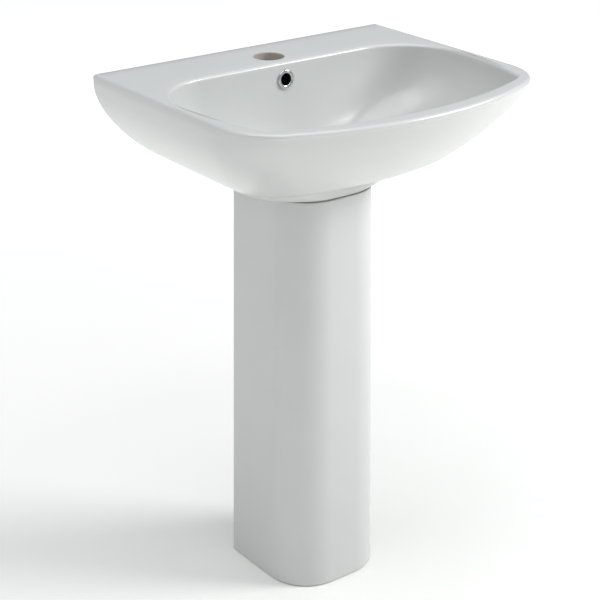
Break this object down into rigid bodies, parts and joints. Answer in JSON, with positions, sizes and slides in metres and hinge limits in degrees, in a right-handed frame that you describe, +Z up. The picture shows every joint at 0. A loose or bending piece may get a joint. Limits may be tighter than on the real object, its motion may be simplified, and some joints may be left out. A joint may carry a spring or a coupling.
{
  "type": "pedestal sink",
  "caption": "Ceramic washbasin with a D-shaped rim, tap hole and overflow on a full pedestal, with its push-plug waste, bottle trap and wall fixings.",
  "frame": {"origin": "on the floor, under the middle of the object's bounding box", "axes": "+Z up, +X to the right of a person facing the wall, +Y towards the wall"},
  "size_m": [0.559, 0.462, 0.85],
  "materials": {
    "ceramic": "clear gloss glaze over white vitreous china",
    "chrome": "polished chrome plate",
    "brass": "as turned",
    "steel": "bright zinc plate",
    "white_plastic": "moulded polypropylene",
    "grey_plastic": "moulded nylon",
    "rubber": "matt"
  },
  "bodies": {
    "sink": {"basin": "ceramic", "pedestal": "ceramic", "seat_gasket": "rubber", "overflow_ring": "chrome", "waste_body": "chrome", "waste_flange_seal": "rubber", "waste_cone_seal": "rubber", "waste_back_nut": "brass", "plug_cartridge": "brass", "plug_spring": "steel", "trap_coupling_nut": "white_plastic", "trap_coupling_washer": "rubber", "trap_inlet_tube": "white_plastic", "trap_body_nut": "white_plastic", "trap_body_washer": "rubber", "trap_body": "white_plastic", "trap_outlet_nut": "white_plastic", "trap_outlet_washer": "rubber", "outlet_pipe": "white_plastic", "wall_stud_left": "steel", "wall_sleeve_left": "grey_plastic", "wall_washer_left": "steel", "wall_nut_left": "steel", "wall_stud_right": "steel", "wall_sleeve_right": "grey_plastic", "wall_washer_right": "steel", "wall_nut_right": "steel"},
    "plug": {"plug_cap": "chrome", "plug_seal": "rubber", "plug_stem": "brass"},
    "cup_ring": {"trap_cup_seal": "rubber"},
    "cup": {"trap_cup": "white_plastic"}
  },
  "joints": [
    {"name": "plug_press", "type": "slide", "parent": "sink", "child": "plug", "axis": [0, 0, 1], "range_m": [-0.008, 0], "stiffness_N_per_m": 300, "springref_m": 0.012, "deforming": ["plug_spring"]},
    {"name": "cup_drop", "type": "slide", "parent": "sink", "child": "cup_ring", "axis": [0, 0, 1], "range_m": [-0.009, 0]},
    {"name": "cup_turn", "type": "hinge", "parent": "cup_ring", "child": "cup", "pos_m": [0, 0.036, 0.53], "axis": [0, 0, 1], "range_deg": [-1080, 0]}
  ],
  "couplings": [
    {"joint": "cup_drop", "follows": "cup_turn", "m_per_rad": 0.00047746}
  ]
}
